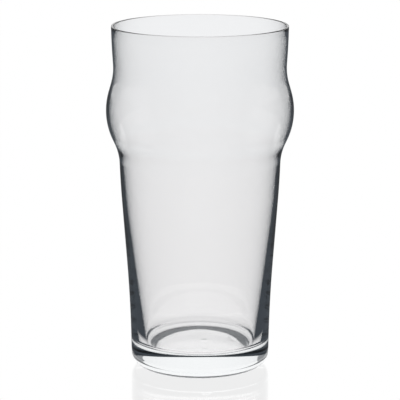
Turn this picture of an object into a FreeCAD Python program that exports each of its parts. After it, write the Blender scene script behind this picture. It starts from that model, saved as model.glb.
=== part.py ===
import FreeCAD, Part
import os
from math import acos, asin, atan2, cos, hypot, pi, radians, sin, tan

import Sketcher

# Nonic pint glass: a single piece of clear moulded glass, in millimetres. It stands on the
# plane Z = 0 with its axis on +Z and its origin at the middle of the base. The wall is heavy
# at the foot and thins upwards: a straight taper, a shoulder, the bulge that gives a nonic
# glass its grip, a neck and a plain fire-polished rim.

NODE = "glass_body"

# Radii of the body are measured from its axis, heights from the standing plane, and angles
# from the vertical, but for the punt's slope, which is measured from the level. A name that
# ends in _arc is the outline's radius of curvature there.
DIMENSIONS = {
    "glass_height": 161.6,
    # outside
    "base_radius": 32.5,
    "outer_taper_bottom": 50.0,
    "outer_taper_angle": 4.33,
    "outer_taper_top": 79.0,
    "outer_waist_arc": 450.0,
    "outer_shoulder_height": 97.0,
    "outer_shoulder_arc": 25.0,
    "outer_bulge_radius": 43.76,
    "outer_bulge_height": 121.8,
    "outer_bulge_arc": 31.0,
    "outer_neck_radius": 40.28,
    "outer_neck_height": 142.0,
    "outer_neck_arc": 26.5,
    "outer_lip_bottom": 144.0,
    "outer_rim_radius": 41.12,
    # inside
    "floor_thickness": 11.5,
    "floor_corner": 2.5,
    "inner_taper_radius": 32.65,
    "inner_taper_angle": 7.2,
    "inner_taper_top": 60.0,
    "inner_waist_arc": 800.0,
    "inner_shoulder_height": 98.5,
    "inner_shoulder_arc": 19.0,
    "inner_bulge_radius": 42.68,
    "inner_bulge_height": 122.6,
    "inner_bulge_arc": 32.5,
    "inner_neck_radius": 39.5,
    "inner_neck_height": 142.7,
    "inner_neck_arc": 31.0,
    "inner_lip_bottom": 145.0,
    "inner_rim_radius": 40.02,
    # finishing
    "foot_corner": 6.3,
    "punt_radius": 25.2,
    "punt_slope": 33.0,
    "punt_arc": 14.0,
    "punt_depth": 2.7,
    "ring_round": 0.8,
    "rim_round": 0.5,
}

SHEET = "Dimensions"
NORMAL = FreeCAD.Vector(0, 0, 1)
LOW, HIGH = "low", "high"
START_POINT, END_POINT, CENTRE_POINT = 1, 2, 3
AXIS = -2
BASE_LINE = -1
FULL_TURN = 360.0
TOUCH = 1e-6


def make_sheet(document):
    """The driving dimensions, one a row, each cell named by its alias."""
    sheet = document.addObject("Spreadsheet::Sheet", SHEET)
    for row, (name, value) in enumerate(DIMENSIONS.items(), start=1):
        sheet.set(f"A{row}", name)
        sheet.set(f"B{row}", str(value))
        sheet.setAlias(f"B{row}", name)
    document.recompute()
    return sheet


class Outline:
    """A sketch in a body's own XZ plane, where X is the radius and Y the height."""

    def __init__(self, body, name):
        self.sketch = body.newObject("Sketcher::SketchObject", name)
        planes = body.Origin.OriginFeatures
        plane = [item for item in planes if item.Role == "XZ_Plane"][0]
        self.sketch.AttachmentSupport = [(plane, "")]
        self.sketch.MapMode = "FlatFace"

    def line(self, start, end):
        """A straight stretch; its ends are then known as LOW (the start) and HIGH."""
        shape = Part.LineSegment(FreeCAD.Vector(*start, 0), FreeCAD.Vector(*end, 0))
        index = self.sketch.addGeometry(shape)
        return {"index": index, LOW: START_POINT, HIGH: END_POINT}

    def bulging_arc(self, centre, radius, low_angle, high_angle):
        """An arc about a centre on the axis's side, from one heading up to the next."""
        circle = Part.Circle(FreeCAD.Vector(*centre, 0), NORMAL, radius)
        index = self.sketch.addGeometry(Part.ArcOfCircle(circle, -low_angle, -high_angle))
        return {"index": index, LOW: START_POINT, HIGH: END_POINT}

    def hollow_arc(self, centre, radius, low_angle, high_angle):
        """An arc about a centre outside the wall, from one heading up to the next."""
        circle = Part.Circle(FreeCAD.Vector(*centre, 0), NORMAL, radius)
        index = self.sketch.addGeometry(Part.ArcOfCircle(circle, pi - high_angle, pi - low_angle))
        return {"index": index, LOW: END_POINT, HIGH: START_POINT}

    def fix(self, kind, *items):
        """A constraint with no size."""
        self.sketch.addConstraint(Sketcher.Constraint(kind, *items))

    def bind(self, expression, kind, *items):
        """A constraint whose size is worked out from the sheet."""
        value = self.sketch.evalExpression(expression)
        if kind == "Angle":
            value = radians(value)
        number = self.sketch.addConstraint(Sketcher.Constraint(kind, *items, value))
        self.sketch.setExpression(f"Constraints[{number}]", expression)

    def blend(self, lower, upper):
        """Join two stretches end to end with no corner."""
        self.fix("Tangent", lower["index"], lower[HIGH], upper["index"], upper[LOW])

    def meet(self, lower, upper):
        """Join two stretches end to end at a corner."""
        self.fix("Coincident", lower["index"], lower[HIGH], upper["index"], upper[LOW])


def on_arc(centre, radius, angle, side):
    """The point of an arc where the outline runs at this angle from the vertical."""
    return (centre[0] + side * radius * cos(angle), centre[1] - side * radius * sin(angle))


def crossing_angle(low_centre, high_centre, reach):
    """The angle of the line that crosses over between two arcs that curve opposite ways.
    reach is the sum of their radii, negative where the bulging arc is the lower one."""
    across = high_centre[0] - low_centre[0]
    up = high_centre[1] - low_centre[1]
    opening = acos(-reach / hypot(across, up))
    slope = atan2(up, across)
    return min(opening - slope, -opening - slope, key=abs)


def draw_wall(outline, side, taper_foot, taper_head):
    """One face of the wall, from the foot of its taper up to the rim and in to the axis."""
    size = {name[len(side) + 1:]: value for name, value in DIMENSIONS.items()
            if name.startswith(side)}
    rim = (size["rim_radius"], DIMENSIONS["glass_height"])
    taper_angle = radians(size["taper_angle"])

    # the waist turns the taper back towards the vertical, up to the shoulder
    waist_arc = size["waist_arc"]
    waist_centre = on_arc(taper_head, -waist_arc, taper_angle, 1)
    waist_angle = asin((waist_centre[1] - size["shoulder_height"]) / waist_arc)
    shoulder = on_arc(waist_centre, waist_arc, waist_angle, 1)

    shoulder_arc = size["shoulder_arc"]
    bulge_arc = size["bulge_arc"]
    neck_arc = size["neck_arc"]
    shoulder_centre = on_arc(shoulder, shoulder_arc, waist_angle, 1)
    bulge_centre = (size["bulge_radius"] - bulge_arc, size["bulge_height"])
    neck_centre = (size["neck_radius"] + neck_arc, size["neck_height"])
    flank_angle = crossing_angle(shoulder_centre, bulge_centre, shoulder_arc + bulge_arc)
    return_angle = crossing_angle(bulge_centre, neck_centre, -bulge_arc - neck_arc)

    # the lip leaves the neck at its own height and ends at the rim
    lip_angle = asin((size["lip_bottom"] - neck_centre[1]) / neck_arc)
    lip_foot = on_arc(neck_centre, neck_arc, lip_angle, -1)
    across, up = rim[0] - lip_foot[0], rim[1] - lip_foot[1]
    bow = up * sin(lip_angle) - across * cos(lip_angle)
    lip_arc = (across**2 + up**2) / (2 * bow)
    lip_centre = on_arc(lip_foot, -lip_arc, lip_angle, 1)
    rim_angle = asin((lip_centre[1] - rim[1]) / lip_arc)

    taper = outline.line(taper_foot, taper_head)
    waist = outline.bulging_arc(waist_centre, waist_arc, taper_angle, waist_angle)
    knee = outline.hollow_arc(shoulder_centre, shoulder_arc, waist_angle, flank_angle)
    flank = outline.line(on_arc(shoulder_centre, shoulder_arc, flank_angle, -1),
                         on_arc(bulge_centre, bulge_arc, flank_angle, 1))
    bulge = outline.bulging_arc(bulge_centre, bulge_arc, flank_angle, return_angle)
    hollow = outline.line(on_arc(bulge_centre, bulge_arc, return_angle, 1),
                          on_arc(neck_centre, neck_arc, return_angle, -1))
    neck = outline.hollow_arc(neck_centre, neck_arc, return_angle, lip_angle)
    lip = outline.bulging_arc(lip_centre, lip_arc, lip_angle, rim_angle)
    mouth = outline.line(rim, (0, rim[1]))

    stretches = (taper, waist, knee, flank, bulge, hollow, neck, lip)
    for lower, upper in zip(stretches, stretches[1:]):
        outline.blend(lower, upper)
    outline.meet(lip, mouth)
    outline.fix("Horizontal", mouth["index"])
    outline.fix("PointOnObject", mouth["index"], END_POINT, AXIS)

    prefix = f"{SHEET}.{side}"
    outline.bind(f"90 - {prefix}_taper_angle", "Angle", taper["index"])
    outline.bind(f"{prefix}_taper_top", "DistanceY", taper["index"], taper[HIGH])
    outline.bind(f"{prefix}_waist_arc", "Radius", waist["index"])
    outline.bind(f"{prefix}_shoulder_height", "DistanceY", waist["index"], waist[HIGH])
    outline.bind(f"{prefix}_shoulder_arc", "Radius", knee["index"])
    outline.bind(f"{prefix}_bulge_arc", "Radius", bulge["index"])
    outline.bind(f"{prefix}_bulge_height", "DistanceY", bulge["index"], CENTRE_POINT)
    outline.bind(f"{prefix}_bulge_radius - {prefix}_bulge_arc",
                 "DistanceX", bulge["index"], CENTRE_POINT)
    outline.bind(f"{prefix}_neck_arc", "Radius", neck["index"])
    outline.bind(f"{prefix}_neck_height", "DistanceY", neck["index"], CENTRE_POINT)
    outline.bind(f"{prefix}_neck_radius + {prefix}_neck_arc",
                 "DistanceX", neck["index"], CENTRE_POINT)
    outline.bind(f"{prefix}_lip_bottom", "DistanceY", neck["index"], neck[HIGH])
    outline.bind(f"{prefix}_rim_radius", "DistanceX", lip["index"], lip[HIGH])
    outline.bind(f"{SHEET}.glass_height", "DistanceY", lip["index"], lip[HIGH])
    return taper, mouth


def close_on_axis(outline, first, mouth):
    """The last line of an outline, down the axis to where the outline started."""
    height = DIMENSIONS["glass_height"]
    start = outline.sketch.getPoint(first["index"], first[LOW])
    axis_line = outline.line((0, height), (0, start.y))
    outline.meet(mouth, axis_line)
    outline.fix("Coincident", axis_line["index"], axis_line[HIGH], first["index"], first[LOW])


def outer_outline(body):
    """The whole glass as if it were solid: the base, the foot and the outer wall."""
    outline = Outline(body, "OuterOutline")
    base_radius = DIMENSIONS["base_radius"]
    angle = radians(DIMENSIONS["outer_taper_angle"])
    foot_arc = DIMENSIONS["outer_taper_bottom"] / sin(angle)
    foot_centre = (base_radius + foot_arc, 0)
    taper_foot = on_arc(foot_centre, foot_arc, angle, -1)
    rise = DIMENSIONS["outer_taper_top"] - taper_foot[1]
    taper_head = (taper_foot[0] + rise * tan(angle), DIMENSIONS["outer_taper_top"])

    base = outline.line((0, 0), (base_radius, 0))
    foot = outline.hollow_arc(foot_centre, foot_arc, 0, angle)
    taper, mouth = draw_wall(outline, "outer", taper_foot, taper_head)

    outline.fix("Coincident", base["index"], base[LOW], BASE_LINE, START_POINT)
    outline.fix("Horizontal", base["index"])
    outline.bind(f"{SHEET}.base_radius", "DistanceX", base["index"], base[HIGH])
    outline.meet(base, foot)
    outline.fix("PointOnObject", foot["index"], CENTRE_POINT, BASE_LINE)
    outline.blend(foot, taper)
    outline.bind(f"{SHEET}.outer_taper_bottom", "DistanceY", foot["index"], foot[HIGH])
    close_on_axis(outline, base, mouth)
    return outline.sketch


def cavity_outline(body):
    """The space that holds the drink: the floor, its rounded corner and the inner wall."""
    outline = Outline(body, "CavityOutline")
    floor = DIMENSIONS["floor_thickness"]
    corner_arc = DIMENSIONS["floor_corner"]
    angle = radians(DIMENSIONS["inner_taper_angle"])
    taper_head = (DIMENSIONS["inner_taper_radius"], DIMENSIONS["inner_taper_top"])
    centre_height = floor + corner_arc
    wall_there = taper_head[0] - (taper_head[1] - centre_height) * tan(angle)
    corner_centre = (wall_there - corner_arc / cos(angle), centre_height)
    taper_foot = on_arc(corner_centre, corner_arc, angle, 1)

    ground = outline.line((0, floor), (corner_centre[0], floor))
    corner = outline.bulging_arc(corner_centre, corner_arc, pi / 2, angle)
    taper, mouth = draw_wall(outline, "inner", taper_foot, taper_head)

    outline.fix("PointOnObject", ground["index"], ground[LOW], AXIS)
    outline.fix("Horizontal", ground["index"])
    outline.bind(f"{SHEET}.floor_thickness", "DistanceY", ground["index"], ground[LOW])
    outline.blend(ground, corner)
    outline.bind(f"{SHEET}.floor_corner", "Radius", corner["index"])
    outline.blend(corner, taper)
    outline.bind(f"{SHEET}.inner_taper_radius", "DistanceX", taper["index"], taper[HIGH])
    close_on_axis(outline, ground, mouth)
    return outline.sketch


def punt_outline(body):
    """The recess under the base, flat in the middle, which leaves a narrow ring to stand on."""
    outline = Outline(body, "PuntOutline")
    radius = DIMENSIONS["punt_radius"]
    depth = DIMENSIONS["punt_depth"]
    arc = DIMENSIONS["punt_arc"]
    slope = radians(DIMENSIONS["punt_slope"])
    rise = depth - arc * (1 - cos(slope))
    shoulder = (radius - rise / tan(slope), rise)
    centre = (shoulder[0] - arc * sin(slope), depth - arc)

    base = outline.line((0, 0), (radius, 0))
    side = outline.line((radius, 0), shoulder)
    turn_in = outline.bulging_arc(centre, arc, slope - pi / 2, -pi / 2)
    roof = outline.line((centre[0], depth), (0, depth))
    axis_line = outline.line((0, depth), (0, 0))

    outline.fix("Coincident", base["index"], base[LOW], BASE_LINE, START_POINT)
    outline.fix("Horizontal", base["index"])
    outline.bind(f"{SHEET}.punt_radius", "DistanceX", base["index"], base[HIGH])
    outline.meet(base, side)
    outline.bind(f"180 - {SHEET}.punt_slope", "Angle", side["index"])
    outline.blend(side, turn_in)
    outline.bind(f"{SHEET}.punt_arc", "Radius", turn_in["index"])
    outline.blend(turn_in, roof)
    outline.fix("Horizontal", roof["index"])
    outline.fix("PointOnObject", roof["index"], roof[HIGH], AXIS)
    outline.bind(f"{SHEET}.punt_depth", "DistanceY", roof["index"], roof[HIGH])
    outline.meet(roof, axis_line)
    outline.meet(axis_line, base)
    return outline.sketch


def turn(body, kind, name, sketch):
    """A full revolution of a sketch about the glass's axis."""
    feature = body.newObject(kind, name)
    feature.Profile = sketch
    feature.ReferenceAxis = (sketch, ["V_Axis"])
    feature.Angle = FULL_TURN
    return feature


def round_edges(body, name, base, height, radii, round_name):
    """A fillet on the circular edges of these radii at a height."""
    edges = []
    for number, edge in enumerate(base.Shape.Edges, start=1):
        box = edge.BoundBox
        if max(abs(box.ZMin - height), abs(box.ZMax - height)) > TOUCH:
            continue
        start = edge.Vertexes[0].Point
        reach = hypot(start.x, start.y)
        if min(abs(reach - radius) for radius in radii) < TOUCH:
            edges.append(f"Edge{number}")
    fillet = body.newObject("PartDesign::Fillet", name)
    fillet.Base = (base, edges)
    fillet.setExpression("Radius", f"{SHEET}.{round_name}")
    return fillet


def make_glass(document):
    """The body: turned solid, rounded at the foot, hollowed out and finished at the rim."""
    body = document.addObject("PartDesign::Body", "GlassBody")
    body.Label = NODE
    body.Placement = FreeCAD.Placement()

    blank = turn(body, "PartDesign::Revolution", "Blank", outer_outline(body))
    document.recompute()
    foot = round_edges(body, "FootCorner", blank, 0, [DIMENSIONS["base_radius"]], "foot_corner")
    document.recompute()
    cavity = turn(body, "PartDesign::Groove", "Cavity", cavity_outline(body))
    document.recompute()
    punt = turn(body, "PartDesign::Groove", "Punt", punt_outline(body))
    document.recompute()
    ring = round_edges(body, "RingRound", punt, 0, [DIMENSIONS["punt_radius"]], "ring_round")
    document.recompute()
    rim_radii = [DIMENSIONS["outer_rim_radius"], DIMENSIONS["inner_rim_radius"]]
    rim = round_edges(body, "RimRound", ring, DIMENSIONS["glass_height"], rim_radii, "rim_round")
    document.recompute()

    steps = (blank, foot, cavity, punt, ring, rim)
    for before, after in zip(steps, steps[1:]):
        if after.Shape.Volume >= before.Shape.Volume:
            raise RuntimeError(f"{after.Name} removed nothing")
    return body


def check(document):
    """Stop if any object failed, any sketch is loose or any solid is not sound."""
    for item in document.Objects:
        if {"Invalid", "Error"} & set(item.State):
            raise RuntimeError(f"{item.Name} failed: {item.State}")
        if item.TypeId == "Sketcher::SketchObject" and not item.FullyConstrained:
            raise RuntimeError(f"{item.Name} is not fully constrained")
        if item.TypeId.startswith("PartDesign::") and hasattr(item, "Shape"):
            if item.Shape.isNull() or not item.Shape.isValid():
                raise RuntimeError(f"{item.Name} has no sound shape")


def main():
    document = FreeCAD.newDocument("PintGlass")
    make_sheet(document)
    body = make_glass(document)
    document.recompute()
    check(document)
    os.makedirs("parts", exist_ok=True)
    body.Shape.exportStep(f"parts/{body.Label}.step")
    box = body.Shape.optimalBoundingBox(False)
    print(f"{NODE}: {box.XLength:.2f} x {box.YLength:.2f} x {box.ZLength:.2f} mm, "
          f"{body.Shape.Volume / 1000:.1f} cm3 of glass")


main()
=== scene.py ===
from math import acos, asin, atan2, ceil, cos, hypot, pi, radians, sin, tan

import bpy
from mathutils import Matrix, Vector, noise


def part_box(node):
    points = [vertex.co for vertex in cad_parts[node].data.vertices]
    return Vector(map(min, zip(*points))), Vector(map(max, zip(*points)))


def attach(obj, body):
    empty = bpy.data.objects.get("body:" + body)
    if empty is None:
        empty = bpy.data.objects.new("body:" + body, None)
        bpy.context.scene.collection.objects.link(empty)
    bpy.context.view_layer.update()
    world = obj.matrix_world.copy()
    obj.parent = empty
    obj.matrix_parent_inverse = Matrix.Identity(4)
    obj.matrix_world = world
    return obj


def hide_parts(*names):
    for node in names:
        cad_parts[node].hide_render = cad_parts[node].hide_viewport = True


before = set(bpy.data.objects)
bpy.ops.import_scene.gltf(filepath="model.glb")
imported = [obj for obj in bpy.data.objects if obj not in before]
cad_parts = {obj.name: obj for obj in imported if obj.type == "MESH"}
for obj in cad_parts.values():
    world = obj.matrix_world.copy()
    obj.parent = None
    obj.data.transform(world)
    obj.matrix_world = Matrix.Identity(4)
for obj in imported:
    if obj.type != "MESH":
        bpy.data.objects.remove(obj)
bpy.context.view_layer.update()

# Nonic pint glass. Lengths are in metres, in the frame's own axes: the glass stands on Z = 0
# with its axis on +Z. The outline is the CAD body's, drawn again as a fine lathed mesh.
MM = 0.001
NODE = "glass_body"

GLASS_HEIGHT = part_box(NODE)[1].z

# The wall's outer and inner faces: a straight taper, then the waist, shoulder, bulge, neck and
# opening lip, each an arc that runs on smoothly from the one below.
OUTER = {
    "taper_angle": radians(4.33),
    "taper_top": 79.0 * MM,
    "waist_arc": 450.0 * MM,
    "shoulder_height": 97.0 * MM,
    "shoulder_arc": 25.0 * MM,
    "bulge_radius": 43.76 * MM,
    "bulge_height": 121.8 * MM,
    "bulge_arc": 31.0 * MM,
    "neck_radius": 40.28 * MM,
    "neck_height": 142.0 * MM,
    "neck_arc": 26.5 * MM,
    "lip_bottom": 144.0 * MM,
    "rim_radius": 41.12 * MM,
}
INNER = {
    "taper_angle": radians(7.2),
    "taper_top": 60.0 * MM,
    "waist_arc": 800.0 * MM,
    "shoulder_height": 98.5 * MM,
    "shoulder_arc": 19.0 * MM,
    "bulge_radius": 42.68 * MM,
    "bulge_height": 122.6 * MM,
    "bulge_arc": 32.5 * MM,
    "neck_radius": 39.5 * MM,
    "neck_height": 142.7 * MM,
    "neck_arc": 31.0 * MM,
    "lip_bottom": 145.0 * MM,
    "rim_radius": 40.02 * MM,
}

# The foot, the recess under it that leaves a narrow standing ring, the floor and the rim.
BASE_RADIUS = 32.5 * MM
TAPER_BOTTOM = 50.0 * MM
FOOT_CORNER = 6.3 * MM
PUNT_RADIUS = 25.2 * MM
PUNT_SLOPE = radians(33)
PUNT_ARC = 14.0 * MM
PUNT_DEPTH = 2.7 * MM
RING_ROUND = 0.8 * MM
FLOOR_THICKNESS = 11.5 * MM
FLOOR_CORNER = 2.5 * MM
INNER_TAPER_RADIUS = 32.65 * MM
RIM_ROUND = 0.5 * MM

# How finely the outline is cut up. The floor is cut finer, because it carries the waves.
SEGMENTS = 320
STEP = 6.0 * MM
FLOOR_STEP = 0.8 * MM
ARC_STEP = radians(2.5)
RIM_STEPS = 6

# Pressing leaves the inside faintly uneven, above all the floor, where the gob's shear mark
# shows as a small dimple.
FLOOR_WAVE = 0.10 * MM
WALL_WAVE = 0.012 * MM
WAVE_LENGTH = 17.0 * MM
WAVE_TOP = 24.0 * MM
DIMPLE = (2.0 * MM, -5.0 * MM)
DIMPLE_RADIUS = 2.6 * MM
DIMPLE_DEPTH = 0.09 * MM
UNDERSIDE_WAVE = 1.3 * MM
UNDERSIDE_WAVE_LENGTH = 13.0 * MM
FLAT_REACH = 0.5 * MM
OTHER_WAVES = Vector((9, 9, 9))

# Soda-lime glass with a faint cool tint, and fine scuffs where it stands on tables. The
# scuffs fade out over WEAR_HEIGHT above the ring.
GLASS_IOR = 1.54
GLASS_TINT = (0.86, 0.93, 0.96, 1)
GLASS_DENSITY = 4.0
WEAR_HEIGHT = 0.5 * MM
WEAR_SCALE = 700.0
WEAR_DETAIL = 3.0
WEAR_ROUGHNESS = 0.5

# The studio: a white surround and a white, softly glossy floor. What the glass mirrors of them
# is DARK_IN_REFLECTIONS, apart from the parts set below: in the surround that is dark light, on
# the floor a painted dark reflection. Turns are measured about Z from +Y, which is behind the
# glass, and heights from the horizon.
WHITE = (1.0, 1.0, 1.0, 1)
DARK_IN_REFLECTIONS = (0.046, 0.054, 0.064, 1)
TRAPPED_TURNS = 3           # light mirrored this often in the glass meets only DARK_IN_REFLECTIONS, on the floor a painted dark reflection
FRONT = 0.6                 # brightness of the front of the room, from FRONT_START round
FRONT_LEAST = 0.06
FRONT_START = radians(100)

# Light that leaves through the glass meets a panel behind it, with dimmer sides. Light that the
# outside mirrors meets a glow behind it.
PANEL_LOW, PANEL_HIGH = radians(5), radians(26)
PANEL_SPREAD = radians(47)
SOFT_EDGE = radians(1)
SIDES = 0.3
SIDES_END, SIDES_EDGE = radians(100), radians(15)
GLOW_SPREAD, GLOW_EDGE = radians(25), radians(35)

# What the glass mirrors of the floor is painted: a painted pool of light beneath the glass, and a
# painted dark reflection beyond it. Floor seen through the glass has painted shade, a little darker
# close by than far off.
FLOOR_REACH = 8.0
FLOOR_DROP = 0.02 * MM
FLOOR_IOR = 1.9
FLOOR_SHINE = 0.6
FLOOR_ROUGHNESS = 0.06
PAINTED_POOL_RADIUS, PAINTED_POOL_EDGE = 42 * MM, 5 * MM
NEAR_PAINTED_SHADE = (0.92, 0.91, 0.915, 1)
FAR_PAINTED_SHADE = (0.94, 0.95, 0.965, 1)
NEAR_FLOOR, FAR_FLOOR = 0.05, 1.0

SENSOR_WIDTH = 36.0
LENS = 199.24
CLIP_NEAR, CLIP_FAR = 0.01, 50
CAMERA_PLACE = (0, -1.0176, 0.2923)
CAMERA_DIP = 0.2066
BOUNCES = 32


# ---------------------------------------------------------------- outline

def on_arc(centre, radius, angle, side=1):
    """The point of an arc where the outline runs at this angle from the vertical."""
    return (centre[0] + side * radius * cos(angle), centre[1] - side * radius * sin(angle))


def arc_points(centre, radius, start, end, side=1):
    """Points along an arc between two headings, the last one left out."""
    count = max(3, ceil(abs(end - start) / ARC_STEP), ceil(abs(end - start) * radius / STEP))
    return [on_arc(centre, radius, start + (end - start) * i / count, side)
            for i in range(count)]


def line_points(start, end, step=STEP):
    """Points along a line, the last one left out."""
    count = max(1, ceil(hypot(end[0] - start[0], end[1] - start[1]) / step))
    return [(start[0] + (end[0] - start[0]) * i / count,
             start[1] + (end[1] - start[1]) * i / count) for i in range(count)]


def crossing_angle(low_centre, high_centre, reach):
    """The angle of the line that crosses over between two arcs that curve opposite ways.
    reach is the sum of their radii, negative where the bulging arc is the lower one."""
    across = high_centre[0] - low_centre[0]
    up = high_centre[1] - low_centre[1]
    opening = acos(-reach / hypot(across, up))
    slope = atan2(up, across)
    return min(opening - slope, -opening - slope, key=abs)


def wall_points(size, taper_foot, taper_head):
    """One face of the wall, from the foot of its taper up to the rim plane."""
    angle = size["taper_angle"]
    waist_arc = size["waist_arc"]
    waist_centre = on_arc(taper_head, -waist_arc, angle)
    waist_angle = asin((waist_centre[1] - size["shoulder_height"]) / waist_arc)
    shoulder = on_arc(waist_centre, waist_arc, waist_angle)

    shoulder_arc, bulge_arc, neck_arc = size["shoulder_arc"], size["bulge_arc"], size["neck_arc"]
    shoulder_centre = on_arc(shoulder, shoulder_arc, waist_angle)
    bulge_centre = (size["bulge_radius"] - bulge_arc, size["bulge_height"])
    neck_centre = (size["neck_radius"] + neck_arc, size["neck_height"])
    flank_angle = crossing_angle(shoulder_centre, bulge_centre, shoulder_arc + bulge_arc)
    return_angle = crossing_angle(bulge_centre, neck_centre, -bulge_arc - neck_arc)

    rim = (size["rim_radius"], GLASS_HEIGHT)
    lip_angle = asin((size["lip_bottom"] - neck_centre[1]) / neck_arc)
    lip_foot = on_arc(neck_centre, neck_arc, lip_angle, -1)
    across, up = rim[0] - lip_foot[0], rim[1] - lip_foot[1]
    bow = up * sin(lip_angle) - across * cos(lip_angle)
    lip_arc = (across**2 + up**2) / (2 * bow)
    lip_centre = on_arc(lip_foot, -lip_arc, lip_angle)
    rim_angle = asin((lip_centre[1] - rim[1]) / lip_arc)

    flank = [on_arc(shoulder_centre, shoulder_arc, flank_angle, -1),
             on_arc(bulge_centre, bulge_arc, flank_angle)]
    hollow = [on_arc(bulge_centre, bulge_arc, return_angle),
              on_arc(neck_centre, neck_arc, return_angle, -1)]
    return (line_points(taper_foot, taper_head)
            + arc_points(waist_centre, waist_arc, angle, waist_angle)
            + arc_points(shoulder_centre, shoulder_arc, waist_angle, flank_angle, -1)
            + line_points(*flank)
            + arc_points(bulge_centre, bulge_arc, flank_angle, return_angle)
            + line_points(*hollow)
            + arc_points(neck_centre, neck_arc, return_angle, lip_angle, -1)
            + arc_points(lip_centre, lip_arc, lip_angle, rim_angle)
            + [rim])


def outer_points():
    """The underside from the axis out, the foot corner and the outer wall."""
    angle = OUTER["taper_angle"]
    foot_arc = TAPER_BOTTOM / sin(angle)
    foot_centre = (BASE_RADIUS + foot_arc, 0)
    taper_foot = on_arc(foot_centre, foot_arc, angle, -1)
    rise = OUTER["taper_top"] - taper_foot[1]
    taper_head = (taper_foot[0] + rise * tan(angle), OUTER["taper_top"])

    run = (PUNT_DEPTH - PUNT_ARC * (1 - cos(PUNT_SLOPE))) / tan(PUNT_SLOPE)
    punt_centre = (PUNT_RADIUS - run - PUNT_ARC * sin(PUNT_SLOPE), PUNT_DEPTH - PUNT_ARC)
    ring_centre = (PUNT_RADIUS + RING_ROUND * tan(PUNT_SLOPE / 2), RING_ROUND)
    corner_reach = (foot_arc + FOOT_CORNER)**2 - FOOT_CORNER**2
    corner_centre = (foot_centre[0] - corner_reach**0.5, FOOT_CORNER)
    corner_angle = asin(FOOT_CORNER / (foot_arc + FOOT_CORNER))
    return (line_points((0, PUNT_DEPTH), (punt_centre[0], PUNT_DEPTH), FLOOR_STEP)
            + arc_points(punt_centre, PUNT_ARC, -pi / 2, PUNT_SLOPE - pi / 2)
            + arc_points(ring_centre, RING_ROUND, PUNT_SLOPE + pi / 2, pi / 2)
            + line_points((ring_centre[0], 0), (corner_centre[0], 0))
            + arc_points(corner_centre, FOOT_CORNER, pi / 2, corner_angle)
            + arc_points(foot_centre, foot_arc, corner_angle, angle, -1)
            + wall_points(OUTER, taper_foot, taper_head))


def inner_points():
    """The floor from the axis out, its rounded corner and the inner wall."""
    angle = INNER["taper_angle"]
    taper_head = (INNER_TAPER_RADIUS, INNER["taper_top"])
    centre_height = FLOOR_THICKNESS + FLOOR_CORNER
    wall_there = taper_head[0] - (taper_head[1] - centre_height) * tan(angle)
    corner_centre = (wall_there - FLOOR_CORNER / cos(angle), centre_height)
    taper_foot = on_arc(corner_centre, FLOOR_CORNER, angle)
    return (line_points((0, FLOOR_THICKNESS), (corner_centre[0], FLOOR_THICKNESS), FLOOR_STEP)
            + arc_points(corner_centre, FLOOR_CORNER, pi / 2, angle)
            + wall_points(INNER, taper_foot, taper_head))


def rounded_rim(outer, inner):
    """The outline in two parts, up over the rounded rim and back down the inside."""
    height = GLASS_HEIGHT - RIM_ROUND
    outside = [point for point in outer if point[1] < height]
    inside = [point for point in inner if point[1] < height]
    outer_centre = (OUTER["rim_radius"] - RIM_ROUND, height)
    inner_centre = (INNER["rim_radius"] + RIM_ROUND, height)
    turn = [pi / 2 * i / RIM_STEPS for i in range(RIM_STEPS + 1)]
    over = ([on_arc(outer_centre, RIM_ROUND, -angle) for angle in turn]
            + [on_arc(inner_centre, RIM_ROUND, -angle - pi / 2) for angle in turn])
    return outside + over, inside[::-1]


# ---------------------------------------------------------------- mesh

def uneven(x, y, z):
    """A point of the inside, moved by the faint waves that pressing leaves."""
    place = Vector((x, y, z)) / WAVE_LENGTH
    low = max(0.0, 1 - (z - FLOOR_THICKNESS) / WAVE_TOP)
    rise = FLOOR_WAVE * low**2 * noise.noise(place)
    off_mark = hypot(x - DIMPLE[0], y - DIMPLE[1]) / DIMPLE_RADIUS
    if off_mark < 1 and z < FLOOR_THICKNESS + FLAT_REACH:
        rise -= DIMPLE_DEPTH * (1 - off_mark**2)**2
    stretch = 1.0
    radius = hypot(x, y)
    if radius > DIMPLE_RADIUS:
        stretch += WALL_WAVE * noise.noise(place + OTHER_WAVES) / radius
    return (x * stretch, y * stretch, z + rise)


def uneven_underside(x, y, z):
    """A point of the recess under the base, moved by the waves of its shoulder."""
    radius = hypot(x, y)
    if radius > PUNT_RADIUS or z > PUNT_DEPTH + FLAT_REACH:
        return (x, y, z)
    shoulder = min(1.0, radius / PUNT_RADIUS)**4 * min(1.0, z / PUNT_DEPTH)
    wave = noise.noise(Vector((x, y, 0)) / UNDERSIDE_WAVE_LENGTH)
    return (x, y, z + UNDERSIDE_WAVE * shoulder * wave)


def lathe(name, outside, inside):
    """A closed mesh turned about Z from an outline that starts and ends on the axis."""
    outline = outside + inside
    ring = outline[1:-1]
    verts, faces = [(0, 0, outline[0][1])], []
    for radius, height in ring:
        for k in range(SEGMENTS):
            angle = 2 * pi * k / SEGMENTS
            verts.append((radius * sin(angle), -radius * cos(angle), height))
    verts.append((0, 0, outline[-1][1]))
    top = len(verts) - 1
    first_inside = 1 + (len(outside) - 1) * SEGMENTS
    verts = ([uneven_underside(*vert) for vert in verts[:first_inside]]
             + [uneven(*vert) for vert in verts[first_inside:]])
    for k in range(SEGMENTS):
        after = (k + 1) % SEGMENTS
        faces.append((0, 1 + after, 1 + k))
        for j in range(len(ring) - 1):
            a = 1 + j * SEGMENTS
            b = a + SEGMENTS
            faces.append((a + k, a + after, b + after, b + k))
        last = 1 + (len(ring) - 1) * SEGMENTS
        faces.append((last + k, last + after, top))
    mesh = bpy.data.meshes.new(name)
    mesh.from_pydata(verts, [], faces)
    mesh.update()
    mesh.polygons.foreach_set("use_smooth", [True] * len(mesh.polygons))
    piece = bpy.data.objects.new(name, mesh)
    bpy.context.scene.collection.objects.link(piece)
    return piece


# ---------------------------------------------------------------- materials and studio

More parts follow.
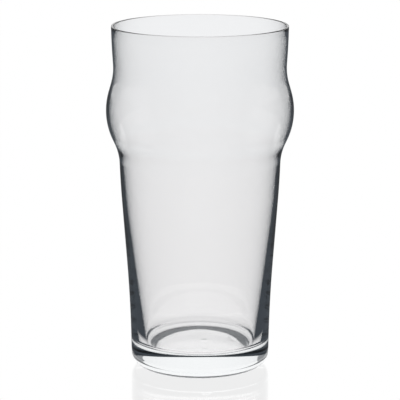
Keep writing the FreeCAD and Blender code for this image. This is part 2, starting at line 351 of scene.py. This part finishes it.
class Calculation:
    """Short ways to join the nodes that work out a number or a colour."""

    def __init__(self, tree):
        self.nodes = tree.nodes
        self.links = tree.links
        self.nodes.clear()

    def add(self, kind, **sockets):
        """A node, with inputs set by name, spaces written as underscores."""
        node = self.nodes.new(kind)
        for name, value in sockets.items():
            node.inputs[name.replace("_", " ")].default_value = value
        return node

    def join(self, source, socket):
        self.links.new(source, socket)

    def put(self, value, socket):
        """Set a socket to a number or colour, or link it."""
        if isinstance(value, bpy.types.NodeSocket):
            self.links.new(value, socket)
        else:
            socket.default_value = value

    def math(self, operation, *values):
        node = self.nodes.new("ShaderNodeMath")
        node.operation = operation
        for value, socket in zip(values, node.inputs):
            self.put(value, socket)
        return node.outputs[0]

    def step(self, value, low, high):
        """0 up to low, 1 from high on, and a smooth rise between."""
        node = self.nodes.new("ShaderNodeMapRange")
        node.interpolation_type = "SMOOTHSTEP"
        self.put(value, node.inputs["Value"])
        node.inputs["From Min"].default_value = low
        node.inputs["From Max"].default_value = high
        return node.outputs["Result"]

    def fall(self, value, low, high):
        """1 up to low, 0 from high on, and a smooth drop between."""
        return self.math("SUBTRACT", 1.0, self.step(value, low, high))

    def blend(self, factor, first, second):
        node = self.nodes.new("ShaderNodeMix")
        node.data_type = "RGBA"
        self.put(factor, node.inputs["Factor"])
        self.put(first, node.inputs["A"])
        self.put(second, node.inputs["B"])
        return node.outputs["Result"]


def new_material(name):
    material = bpy.data.materials.new(name)
    material.use_nodes = True
    return material, Calculation(material.node_tree)


def glass_material():
    """Clear soda-lime glass, tinted in its depth and scuffed where it stands."""
    material, calc = new_material("clear_glass")
    shader = calc.add("ShaderNodeBsdfPrincipled", Base_Color=WHITE, Transmission_Weight=1.0,
                      Roughness=0.0, IOR=GLASS_IOR)
    tint = calc.add("ShaderNodeVolumeAbsorption", Color=GLASS_TINT, Density=GLASS_DENSITY)

    place = calc.add("ShaderNodeNewGeometry").outputs["Position"]
    split = calc.add("ShaderNodeSeparateXYZ")
    calc.join(place, split.inputs["Vector"])
    low = calc.add("ShaderNodeMapRange", From_Max=WEAR_HEIGHT, To_Min=1.0, To_Max=0.0)
    calc.join(split.outputs["Z"], low.inputs["Value"])
    scuffs = calc.add("ShaderNodeTexNoise", Scale=WEAR_SCALE, Detail=WEAR_DETAIL)
    calc.join(place, scuffs.inputs["Vector"])
    worn = calc.math("MULTIPLY", low.outputs["Result"], scuffs.outputs["Fac"])
    calc.join(calc.math("MULTIPLY", worn, WEAR_ROUGHNESS), shader.inputs["Roughness"])

    out = calc.add("ShaderNodeOutputMaterial")
    calc.join(shader.outputs["BSDF"], out.inputs["Surface"])
    calc.join(tint.outputs["Volume"], out.inputs["Volume"])
    return material


def studio_front(calc, turn):
    """How bright the front of the room is at a turn about Z: light in the surround, and painted
    reflection on the floor.
    """
    front = calc.math("MULTIPLY", FRONT, calc.step(turn, FRONT_START, pi))
    return calc.math("MAXIMUM", FRONT_LEAST, front)


def floor_material():
    """White and softly glossy, and plain white seen directly. What the glass mirrors of it is a
    painted dark reflection, but for a painted pool of light beneath the glass; seen through the
    glass it has painted shade.
    """
    material, calc = new_material("studio_floor")
    path = calc.add("ShaderNodeLightPath")
    mirrored = calc.math("GREATER_THAN", path.outputs["Glossy Depth"], 0.5)
    trapped = calc.math("GREATER_THAN", path.outputs["Glossy Depth"], TRAPPED_TURNS - 0.5)
    through = calc.math("GREATER_THAN", path.outputs["Transmission Depth"], 0.5)

    place = calc.add("ShaderNodeNewGeometry").outputs["Position"]
    distance = calc.add("ShaderNodeVectorMath")
    distance.operation = "LENGTH"
    calc.join(place, distance.inputs[0])
    distance = distance.outputs["Value"]
    # Painted pool of light beneath the glass; beyond it, and for trapped light, the glass mirrors a
    # painted dark reflection.
    off_painted_pool = calc.step(distance, PAINTED_POOL_RADIUS, PAINTED_POOL_RADIUS + PAINTED_POOL_EDGE)
    off_painted_pool = calc.math("MAXIMUM", off_painted_pool, trapped)
    # Painted shade: floor seen through the glass is darker close by than far off; seen directly it
    # is white.
    far = calc.step(distance, NEAR_FLOOR, FAR_FLOOR)
    tone_with_painted_shade = calc.blend(through, WHITE, calc.blend(far, NEAR_PAINTED_SHADE, FAR_PAINTED_SHADE))

    split = calc.add("ShaderNodeSeparateXYZ")
    calc.join(place, split.inputs["Vector"])
    x, y = split.outputs[:2]
    # Painted dark reflection of the floor, brighter towards the front of the room.
    turn = calc.math("ABSOLUTE", calc.math("ARCTAN2", x, y))
    outside = calc.math("SUBTRACT", 1.0, through)
    painted_dark_reflection = calc.blend(calc.math("MULTIPLY", studio_front(calc, turn), outside), DARK_IN_REFLECTIONS, WHITE)

    # The floor's emission carries the painted pool, the painted dark reflection and the painted
    # shade; seen directly it is plain white.
    glow = calc.add("ShaderNodeEmission")
    calc.put(calc.blend(calc.math("MULTIPLY", mirrored, off_painted_pool), tone_with_painted_shade, painted_dark_reflection), glow.inputs["Color"])
    shine = calc.add("ShaderNodeBsdfGlossy", Color=WHITE, Roughness=FLOOR_ROUGHNESS)
    fresnel = calc.add("ShaderNodeFresnel", IOR=FLOOR_IOR)
    direct = calc.math("SUBTRACT", 1.0, mirrored)
    share = calc.math("MULTIPLY", calc.math("MULTIPLY", fresnel.outputs[0], direct), FLOOR_SHINE)
    mix = calc.add("ShaderNodeMixShader")
    calc.join(share, mix.inputs[0])
    calc.join(glow.outputs[0], mix.inputs[1])
    calc.join(shine.outputs[0], mix.inputs[2])
    out = calc.add("ShaderNodeOutputMaterial")
    calc.join(mix.outputs[0], out.inputs["Surface"])
    return material


def floor():
    """A wide pale floor."""
    reach = FLOOR_REACH
    corners = [(-reach, -reach, 0), (reach, -reach, 0), (reach, reach, 0), (-reach, reach, 0)]
    mesh = bpy.data.meshes.new("studio_floor")
    mesh.from_pydata(corners, [], [(0, 1, 2, 3)])
    plane = bpy.data.objects.new("studio_floor", mesh)
    plane.location.z = -FLOOR_DROP
    bpy.context.scene.collection.objects.link(plane)
    mesh.materials.append(floor_material())


def surround():
    """A white room, of which the glass mirrors only the panel, the glow and the front."""
    world = bpy.data.worlds.new("studio")
    bpy.context.scene.world = world
    world.use_nodes = True
    calc = Calculation(world.node_tree)
    path = calc.add("ShaderNodeLightPath")
    mirrored = calc.math("GREATER_THAN", path.outputs["Glossy Depth"], 0.5)
    through = calc.math("GREATER_THAN", path.outputs["Transmission Depth"], 0.5)
    free = calc.math("LESS_THAN", path.outputs["Glossy Depth"], TRAPPED_TURNS - 0.5)

    split = calc.add("ShaderNodeSeparateXYZ")
    calc.join(calc.add("ShaderNodeTexCoord").outputs["Generated"], split.inputs["Vector"])
    x, y, z = split.outputs
    height = calc.math("ARCSINE", z)
    turn = calc.math("ABSOLUTE", calc.math("ARCTAN2", x, y))

    glow = calc.fall(turn, GLOW_SPREAD, GLOW_SPREAD + GLOW_EDGE)
    glow = calc.math("MAXIMUM", glow, studio_front(calc, turn))
    above = calc.step(height, PANEL_LOW - SOFT_EDGE, PANEL_LOW)
    below = calc.fall(height, PANEL_HIGH, PANEL_HIGH + SOFT_EDGE)
    ahead = calc.fall(turn, PANEL_SPREAD, PANEL_SPREAD + SOFT_EDGE)
    beside = calc.fall(turn, SIDES_END, SIDES_END + SIDES_EDGE)
    ahead = calc.math("MAXIMUM", ahead, calc.math("MULTIPLY", SIDES, beside))
    panel = calc.math("MULTIPLY", calc.math("MULTIPLY", above, below), ahead)

    outside = calc.math("SUBTRACT", 1.0, through)
    seen = calc.math("ADD", calc.math("MULTIPLY", through, panel),
                     calc.math("MULTIPLY", outside, glow))
    seen = calc.math("MULTIPLY", seen, free)
    dark = calc.math("MULTIPLY", mirrored, calc.math("SUBTRACT", 1.0, seen))
    sky = calc.add("ShaderNodeBackground")
    calc.put(calc.blend(dark, WHITE, DARK_IN_REFLECTIONS), sky.inputs["Color"])
    out = calc.add("ShaderNodeOutputWorld")
    calc.join(sky.outputs[0], out.inputs["Surface"])


def camera():
    """A long lens from the front, looking slightly down."""
    data = bpy.data.cameras.new("camera")
    data.sensor_width = SENSOR_WIDTH
    data.lens = LENS
    data.clip_start, data.clip_end = CLIP_NEAR, CLIP_FAR
    cam = bpy.data.objects.new("camera", data)
    cam.location = CAMERA_PLACE
    cam.rotation_euler = (pi / 2 - CAMERA_DIP, 0, 0)
    bpy.context.scene.collection.objects.link(cam)
    bpy.context.scene.camera = cam


camera()
floor()
surround()
glass = lathe("pint_glass", *rounded_rim(outer_points(), inner_points()))
glass.data.materials.append(glass_material())
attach(glass, "root")
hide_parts(NODE)

scene = bpy.context.scene
scene.view_settings.view_transform = "Standard"
scene.cycles.max_bounces = BOUNCES
scene.cycles.transmission_bounces = BOUNCES
scene.cycles.glossy_bounces = BOUNCES
